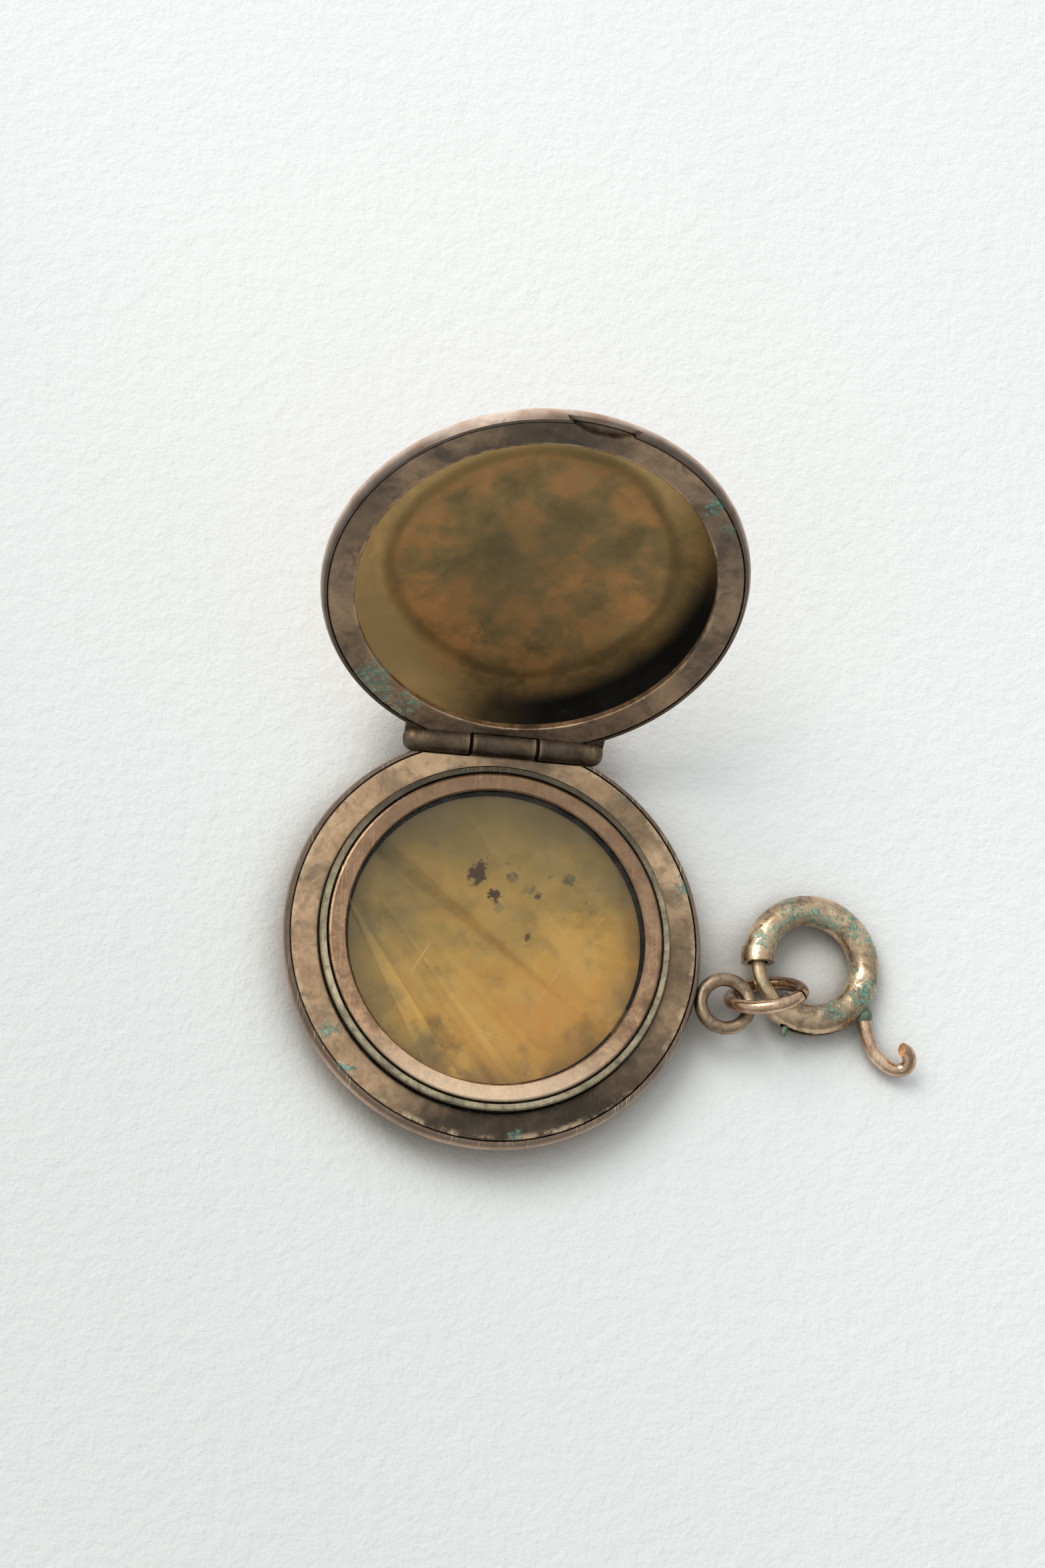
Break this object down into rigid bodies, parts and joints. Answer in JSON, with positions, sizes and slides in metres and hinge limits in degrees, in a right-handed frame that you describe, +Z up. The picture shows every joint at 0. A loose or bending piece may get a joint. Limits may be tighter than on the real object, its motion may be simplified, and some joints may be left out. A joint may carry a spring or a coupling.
{
  "type": "locket",
  "caption": "Round hinged locket standing open, with a lift-out window frame, bail loop, jump ring and a sprung bolt-ring clasp with an opened eye.",
  "frame": {"origin": "centre of the base half's flat back, on the surface it lies on", "axes": "+Z up out of the open base, +Y from the middle of the base towards the hinge, +X to the right, towards the bail loop"},
  "size_m": [0.0438, 0.0439, 0.0266],
  "materials": {
    "lid_shell": "worn rolled-gold skin, rose brown",
    "lid_flange": "tarnished dark copper brown",
    "lid_knuckle_left": "tarnished",
    "lid_knuckle_right": "tarnished",
    "back_shell": "worn rolled-gold skin, rose brown",
    "base_flange": "tarnished copper brown with green spots",
    "snap_collar": "dull grey green",
    "frame_seat": "dull",
    "base_knuckle": "tarnished",
    "hinge_pin": "drawn wire",
    "bail_loop": "tarnished wire",
    "bezel_ring": "copper rose, polished by wear",
    "window_disc": "clear, slightly yellowed",
    "picture_backing": "stained golden olive",
    "jump_ring": "copper rose wire",
    "clasp_tube": "rolled gold with green corrosion",
    "mouth_ferrule": "worn",
    "spring_stop": "dull",
    "clasp_tongue": "scratched wire",
    "thumb_pin": "green corrosion",
    "clasp_spring": "fine wire",
    "clasp_eye": "copper rose wire",
    "eye_weld": "green corroded solder"
  },
  "bodies": {
    "base": {"back_shell": "back_shell", "base_flange": "base_flange", "snap_collar": "snap_collar", "frame_seat": "frame_seat", "base_knuckle": "base_knuckle", "hinge_pin": "hinge_pin", "bail_loop": "bail_loop"},
    "lid": {"lid_shell": "lid_shell", "lid_flange": "lid_flange", "lid_knuckle_left": "lid_knuckle_left", "lid_knuckle_right": "lid_knuckle_right"},
    "picture_frame": {"bezel_ring": "bezel_ring", "window_disc": "window_disc", "picture_backing": "picture_backing"},
    "ring": {"jump_ring": "jump_ring"},
    "clasp": {"clasp_tube": "clasp_tube", "mouth_ferrule": "mouth_ferrule", "spring_stop": "spring_stop", "clasp_spring": "clasp_spring", "clasp_eye": "clasp_eye", "eye_weld": "eye_weld"},
    "bolt": {"clasp_tongue": "clasp_tongue", "thumb_pin": "thumb_pin"}
  },
  "joints": [
    {"name": "lid_hinge", "type": "hinge", "parent": "base", "child": "lid", "pos_m": [0, 0.0135, 0.00343], "axis": [1, 0, 0], "range_deg": [-56, 122.5]},
    {"name": "frame_lift", "type": "slide", "parent": "base", "child": "picture_frame", "axis": [0, 0, 1], "range_m": [0, 0.0012]},
    {"name": "jump_ring_swing", "type": "hinge", "parent": "base", "child": "ring", "pos_m": [0.01768, -0.00325, 0.00255], "axis": [-0.1805, -0.9836, 0], "range_deg": [-4, 40]},
    {"name": "clasp_swing", "type": "hinge", "parent": "ring", "child": "clasp", "pos_m": [0.019, -0.00162, 0.0018], "axis": [0.5514, -0.8319, -0.062], "range_deg": [-6, 70]},
    {"name": "bolt_slide", "type": "hinge", "parent": "clasp", "child": "bolt", "pos_m": [0.02215, 0.00049, 0.00148], "axis": [0.1044, -0.0049, 0.9945], "range_deg": [0, 42], "stiffness_Nm_per_rad": 0.002, "springref_deg": -17.19, "deforming": ["clasp_spring"]}
  ]
}
